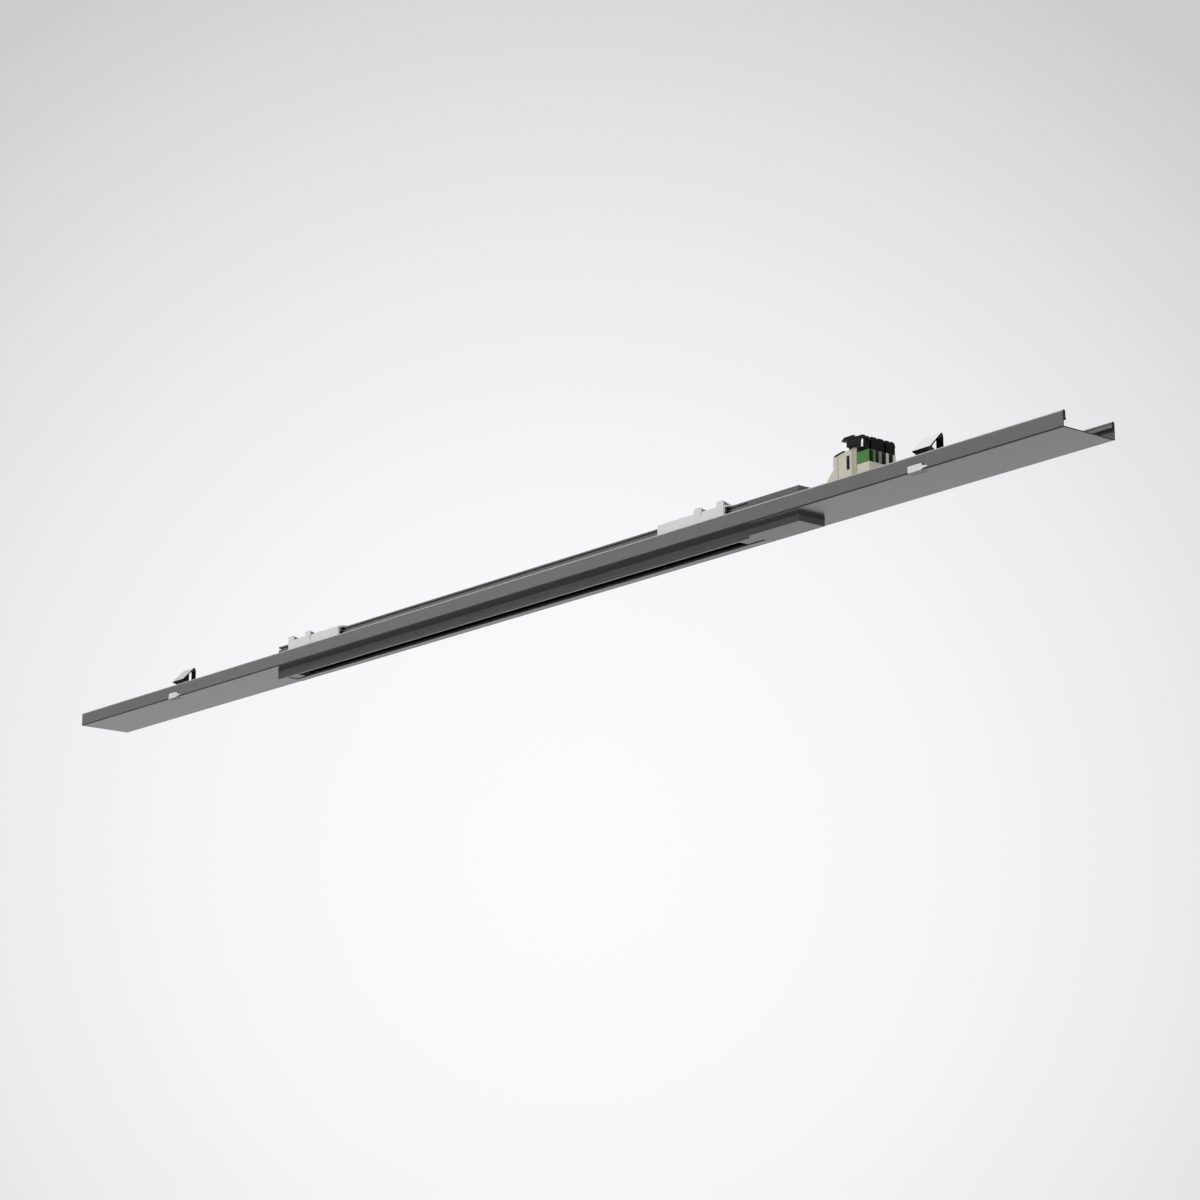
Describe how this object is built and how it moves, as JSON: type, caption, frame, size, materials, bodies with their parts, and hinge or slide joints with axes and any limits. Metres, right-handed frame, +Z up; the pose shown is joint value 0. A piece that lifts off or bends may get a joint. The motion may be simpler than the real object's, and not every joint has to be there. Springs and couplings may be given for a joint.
{
  "type": "three-phase lighting track insert",
  "caption": "Trunking insert: a folded steel tray with a three-phase lighting track let into its floor, feed housing, saddle brackets, spring clips and a supply plug.",
  "frame": {"origin": "middle of the tray's length and width, level with the lower edge of the track's coding rib", "axes": "+X along the tray towards the end with the plug, +Y across it, +Z up through the open side of the tray"},
  "size_m": [1.5, 0.0612, 0.0628],
  "materials": {
    "tray_paint": "semi-gloss dark grey powder coat",
    "track_metal": "dark grey coated extrusion",
    "insulator": "black insulating plastic",
    "conductor": "bare copper",
    "grey_plastic": "dark grey moulding",
    "light_plastic": "light grey moulding",
    "spring_steel": "bright spring steel",
    "cream_plastic": "cream moulding",
    "green_plastic": "green moulding",
    "black_plastic": "black moulding"
  },
  "bodies": {
    "root": {"tray": "tray_paint", "track_profile": "track_metal", "insulating_strip_near": "insulator", "insulating_strip_far": "insulator", "conductor_near_upper": "conductor", "conductor_near_lower": "conductor", "conductor_far_upper": "conductor", "conductor_far_lower": "conductor", "end_cap": "grey_plastic", "feed_housing": "grey_plastic", "bracket_left": "light_plastic", "bracket_right": "light_plastic", "spring_clip_left": "spring_steel", "spring_clip_right": "spring_steel", "release_tab_left": "light_plastic", "release_tab_right": "light_plastic", "plug_housing": "cream_plastic", "plug_phase_block": "green_plastic", "plug_contact_carrier_1": "black_plastic", "plug_contact_carrier_2": "black_plastic", "plug_contact_carrier_3": "black_plastic", "plug_latch": "black_plastic"}
  },
  "joints": []
}
